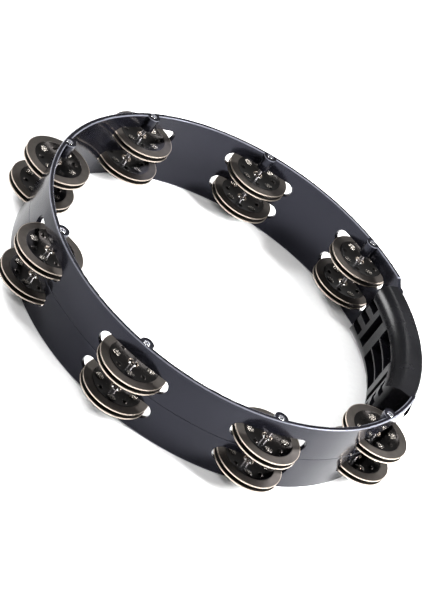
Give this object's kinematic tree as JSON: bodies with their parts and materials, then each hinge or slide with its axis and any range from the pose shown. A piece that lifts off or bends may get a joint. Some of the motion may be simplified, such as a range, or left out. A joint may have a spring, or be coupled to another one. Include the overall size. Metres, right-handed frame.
{
  "type": "headless tambourine",
  "caption": "Round headless tambourine: a slotted plastic band with an inward-bulging hand grip and pairs of dished metal jingles loose on upright pins.",
  "frame": {"origin": "middle of the bounding box in plan, on the plane the lower rim rests on; the ring's own axis is 4.8 mm along +X from it", "axes": "+Z along the ring's axis, from the lower rim to the upper; +X towards the middle of the grip; +Y across the ring"},
  "size_m": [0.2656, 0.2842, 0.05],
  "materials": {
    "band_plastic": "polished charcoal-black moulding",
    "grip_plastic": "satin black moulding",
    "pin_steel": "bright drawn wire",
    "jingle_steel": "black nickel plating, brushed and bright on the edge"
  },
  "bodies": {
    "frame": {"frame_ring": "band_plastic", "grip": "grip_plastic", "pin_1": "pin_steel", "pin_2": "pin_steel", "pin_3": "pin_steel", "pin_4": "pin_steel", "pin_5": "pin_steel", "pin_6": "pin_steel", "pin_7": "pin_steel", "pin_8": "pin_steel"},
    "jingle_1_lower_bottom": {"jingle_1_lower_bottom": "jingle_steel"},
    "jingle_1_lower_top": {"jingle_1_lower_top": "jingle_steel"},
    "jingle_1_upper_bottom": {"jingle_1_upper_bottom": "jingle_steel"},
    "jingle_1_upper_top": {"jingle_1_upper_top": "jingle_steel"},
    "jingle_2_lower_bottom": {"jingle_2_lower_bottom": "jingle_steel"},
    "jingle_2_lower_top": {"jingle_2_lower_top": "jingle_steel"},
    "jingle_2_upper_bottom": {"jingle_2_upper_bottom": "jingle_steel"},
    "jingle_2_upper_top": {"jingle_2_upper_top": "jingle_steel"},
    "jingle_3_lower_bottom": {"jingle_3_lower_bottom": "jingle_steel"},
    "jingle_3_lower_top": {"jingle_3_lower_top": "jingle_steel"},
    "jingle_3_upper_bottom": {"jingle_3_upper_bottom": "jingle_steel"},
    "jingle_3_upper_top": {"jingle_3_upper_top": "jingle_steel"},
    "jingle_4_lower_bottom": {"jingle_4_lower_bottom": "jingle_steel"},
    "jingle_4_lower_top": {"jingle_4_lower_top": "jingle_steel"},
    "jingle_4_upper_bottom": {"jingle_4_upper_bottom": "jingle_steel"},
    "jingle_4_upper_top": {"jingle_4_upper_top": "jingle_steel"},
    "jingle_5_lower_bottom": {"jingle_5_lower_bottom": "jingle_steel"},
    "jingle_5_lower_top": {"jingle_5_lower_top": "jingle_steel"},
    "jingle_5_upper_bottom": {"jingle_5_upper_bottom": "jingle_steel"},
    "jingle_5_upper_top": {"jingle_5_upper_top": "jingle_steel"},
    "jingle_6_lower_bottom": {"jingle_6_lower_bottom": "jingle_steel"},
    "jingle_6_lower_top": {"jingle_6_lower_top": "jingle_steel"},
    "jingle_6_upper_bottom": {"jingle_6_upper_bottom": "jingle_steel"},
    "jingle_6_upper_top": {"jingle_6_upper_top": "jingle_steel"},
    "jingle_7_lower_bottom": {"jingle_7_lower_bottom": "jingle_steel"},
    "jingle_7_lower_top": {"jingle_7_lower_top": "jingle_steel"},
    "jingle_7_upper_bottom": {"jingle_7_upper_bottom": "jingle_steel"},
    "jingle_7_upper_top": {"jingle_7_upper_top": "jingle_steel"},
    "jingle_8_lower_bottom": {"jingle_8_lower_bottom": "jingle_steel"},
    "jingle_8_lower_top": {"jingle_8_lower_top": "jingle_steel"},
    "jingle_8_upper_bottom": {"jingle_8_upper_bottom": "jingle_steel"},
    "jingle_8_upper_top": {"jingle_8_upper_top": "jingle_steel"}
  },
  "joints": [
    {"name": "slide_1_lower_bottom", "type": "slide", "parent": "frame", "child": "jingle_1_lower_bottom", "axis": [0, 0, 1], "range_m": [0, 0.0021]},
    {"name": "slide_1_lower_top", "type": "slide", "parent": "jingle_1_lower_bottom", "child": "jingle_1_lower_top", "axis": [0, 0, 1], "range_m": [0, 0.0021]},
    {"name": "slide_1_upper_bottom", "type": "slide", "parent": "frame", "child": "jingle_1_upper_bottom", "axis": [0, 0, 1], "range_m": [0, 0.0021]},
    {"name": "slide_1_upper_top", "type": "slide", "parent": "jingle_1_upper_bottom", "child": "jingle_1_upper_top", "axis": [0, 0, 1], "range_m": [0, 0.0021]},
    {"name": "slide_2_lower_bottom", "type": "slide", "parent": "frame", "child": "jingle_2_lower_bottom", "axis": [0, 0, 1], "range_m": [0, 0.0021]},
    {"name": "slide_2_lower_top", "type": "slide", "parent": "jingle_2_lower_bottom", "child": "jingle_2_lower_top", "axis": [0, 0, 1], "range_m": [0, 0.0021]},
    {"name": "slide_2_upper_bottom", "type": "slide", "parent": "frame", "child": "jingle_2_upper_bottom", "axis": [0, 0, 1], "range_m": [0, 0.0021]},
    {"name": "slide_2_upper_top", "type": "slide", "parent": "jingle_2_upper_bottom", "child": "jingle_2_upper_top", "axis": [0, 0, 1], "range_m": [0, 0.0021]},
    {"name": "slide_3_lower_bottom", "type": "slide", "parent": "frame", "child": "jingle_3_lower_bottom", "axis": [0, 0, 1], "range_m": [0, 0.0021]},
    {"name": "slide_3_lower_top", "type": "slide", "parent": "jingle_3_lower_bottom", "child": "jingle_3_lower_top", "axis": [0, 0, 1], "range_m": [0, 0.0021]},
    {"name": "slide_3_upper_bottom", "type": "slide", "parent": "frame", "child": "jingle_3_upper_bottom", "axis": [0, 0, 1], "range_m": [0, 0.0021]},
    {"name": "slide_3_upper_top", "type": "slide", "parent": "jingle_3_upper_bottom", "child": "jingle_3_upper_top", "axis": [0, 0, 1], "range_m": [0, 0.0021]},
    {"name": "slide_4_lower_bottom", "type": "slide", "parent": "frame", "child": "jingle_4_lower_bottom", "axis": [0, 0, 1], "range_m": [0, 0.0021]},
    {"name": "slide_4_lower_top", "type": "slide", "parent": "jingle_4_lower_bottom", "child": "jingle_4_lower_top", "axis": [0, 0, 1], "range_m": [0, 0.0021]},
    {"name": "slide_4_upper_bottom", "type": "slide", "parent": "frame", "child": "jingle_4_upper_bottom", "axis": [0, 0, 1], "range_m": [0, 0.0021]},
    {"name": "slide_4_upper_top", "type": "slide", "parent": "jingle_4_upper_bottom", "child": "jingle_4_upper_top", "axis": [0, 0, 1], "range_m": [0, 0.0021]},
    {"name": "slide_5_lower_bottom", "type": "slide", "parent": "frame", "child": "jingle_5_lower_bottom", "axis": [0, 0, 1], "range_m": [0, 0.0021]},
    {"name": "slide_5_lower_top", "type": "slide", "parent": "jingle_5_lower_bottom", "child": "jingle_5_lower_top", "axis": [0, 0, 1], "range_m": [0, 0.0021]},
    {"name": "slide_5_upper_bottom", "type": "slide", "parent": "frame", "child": "jingle_5_upper_bottom", "axis": [0, 0, 1], "range_m": [0, 0.0021]},
    {"name": "slide_5_upper_top", "type": "slide", "parent": "jingle_5_upper_bottom", "child": "jingle_5_upper_top", "axis": [0, 0, 1], "range_m": [0, 0.0021]},
    {"name": "slide_6_lower_bottom", "type": "slide", "parent": "frame", "child": "jingle_6_lower_bottom", "axis": [0, 0, 1], "range_m": [0, 0.0021]},
    {"name": "slide_6_lower_top", "type": "slide", "parent": "jingle_6_lower_bottom", "child": "jingle_6_lower_top", "axis": [0, 0, 1], "range_m": [0, 0.0021]},
    {"name": "slide_6_upper_bottom", "type": "slide", "parent": "frame", "child": "jingle_6_upper_bottom", "axis": [0, 0, 1], "range_m": [0, 0.0021]},
    {"name": "slide_6_upper_top", "type": "slide", "parent": "jingle_6_upper_bottom", "child": "jingle_6_upper_top", "axis": [0, 0, 1], "range_m": [0, 0.0021]},
    {"name": "slide_7_lower_bottom", "type": "slide", "parent": "frame", "child": "jingle_7_lower_bottom", "axis": [0, 0, 1], "range_m": [0, 0.0021]},
    {"name": "slide_7_lower_top", "type": "slide", "parent": "jingle_7_lower_bottom", "child": "jingle_7_lower_top", "axis": [0, 0, 1], "range_m": [0, 0.0021]},
    {"name": "slide_7_upper_bottom", "type": "slide", "parent": "frame", "child": "jingle_7_upper_bottom", "axis": [0, 0, 1], "range_m": [0, 0.0021]},
    {"name": "slide_7_upper_top", "type": "slide", "parent": "jingle_7_upper_bottom", "child": "jingle_7_upper_top", "axis": [0, 0, 1], "range_m": [0, 0.0021]},
    {"name": "slide_8_lower_bottom", "type": "slide", "parent": "frame", "child": "jingle_8_lower_bottom", "axis": [0, 0, 1], "range_m": [0, 0.0021]},
    {"name": "slide_8_lower_top", "type": "slide", "parent": "jingle_8_lower_bottom", "child": "jingle_8_lower_top", "axis": [0, 0, 1], "range_m": [0, 0.0021]},
    {"name": "slide_8_upper_bottom", "type": "slide", "parent": "frame", "child": "jingle_8_upper_bottom", "axis": [0, 0, 1], "range_m": [0, 0.0021]},
    {"name": "slide_8_upper_top", "type": "slide", "parent": "jingle_8_upper_bottom", "child": "jingle_8_upper_top", "axis": [0, 0, 1], "range_m": [0, 0.0021]}
  ]
}
